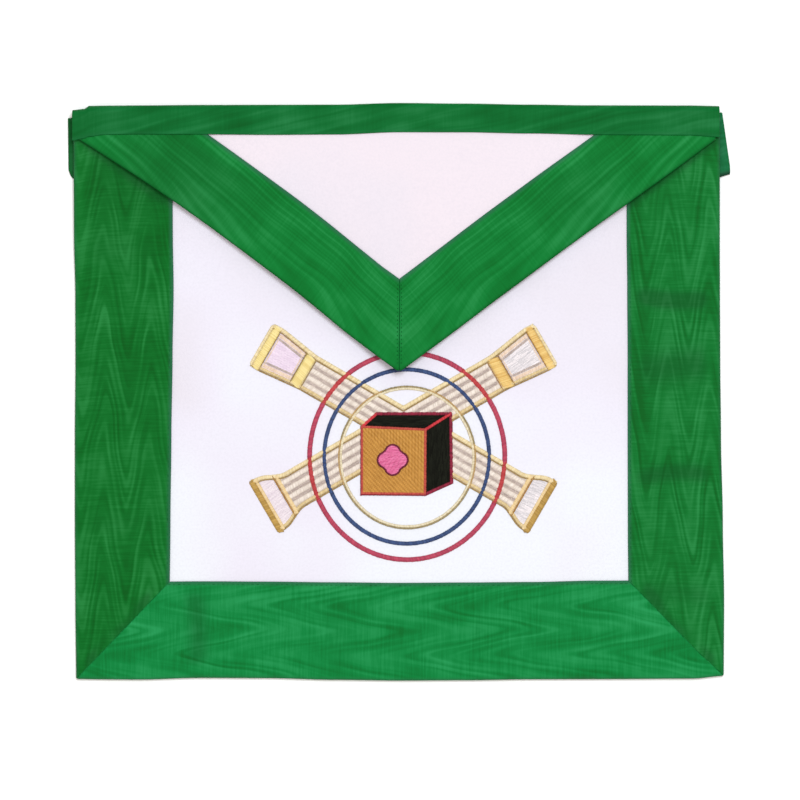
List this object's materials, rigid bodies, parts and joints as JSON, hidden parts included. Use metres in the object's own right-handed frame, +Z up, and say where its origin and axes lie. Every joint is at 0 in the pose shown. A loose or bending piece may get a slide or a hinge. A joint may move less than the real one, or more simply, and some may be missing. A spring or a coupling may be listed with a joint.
{
  "type": "regalia apron",
  "caption": "Rectangular ribbon-edged ceremonial apron with a pointed flap, a waistband, a folded belt and an embroidered emblem of circles, crossed columns and a cube.",
  "frame": {"origin": "middle of the table face under the apron, at the centre of its outline seen from above", "axes": "+X across the apron, to the right as its front is read; +Y towards the waistband; +Z up from the table, out of the embroidered front"},
  "size_m": [0.4108, 0.358, 0.012],
  "materials": {
    "white_leatherette": "fine-grained, soft sheen",
    "green_moire_ribbon": "ribbed watered ribbon, satin sheen",
    "clasp_metal": "plain stamped plate",
    "gold_thread": "metallic satin stitch",
    "silver_thread": "metallic satin stitch",
    "pale_gold_thread": "metallic satin stitch",
    "crimson_thread": "satin stitch",
    "blue_thread": "satin stitch",
    "ochre_thread": "slanted fill stitch",
    "black_thread": "fill stitch",
    "red_thread": "satin stitch",
    "pink_thread": "satin stitch",
    "maroon_thread": "satin stitch"
  },
  "bodies": {
    "root": {"body_panel": "white_leatherette", "border_left": "green_moire_ribbon", "border_right": "green_moire_ribbon", "border_bottom": "green_moire_ribbon", "flap_panel": "white_leatherette", "flap_border_left": "green_moire_ribbon", "flap_border_right": "green_moire_ribbon", "waistband": "green_moire_ribbon", "belt_left": "green_moire_ribbon", "belt_right": "green_moire_ribbon", "belt_clasp": "clasp_metal", "column_capital_left_frame": "gold_thread", "column_capital_left_end": "silver_thread", "column_capital_left_shaft": "silver_thread", "column_capital_right_frame": "gold_thread", "column_capital_right_end": "silver_thread", "column_capital_right_shaft": "silver_thread", "column_base_left_frame": "gold_thread", "column_base_left_end": "silver_thread", "column_base_left_shaft": "silver_thread", "column_base_right_frame": "gold_thread", "column_base_right_end": "silver_thread", "column_base_right_shaft": "silver_thread", "circle_outer": "crimson_thread", "circle_middle": "blue_thread", "circle_inner": "pale_gold_thread", "cube_outline": "red_thread", "cube_front": "ochre_thread", "cube_top": "black_thread", "cube_side": "black_thread", "motif_outline": "maroon_thread", "motif_fill": "pink_thread"}
  },
  "joints": []
}
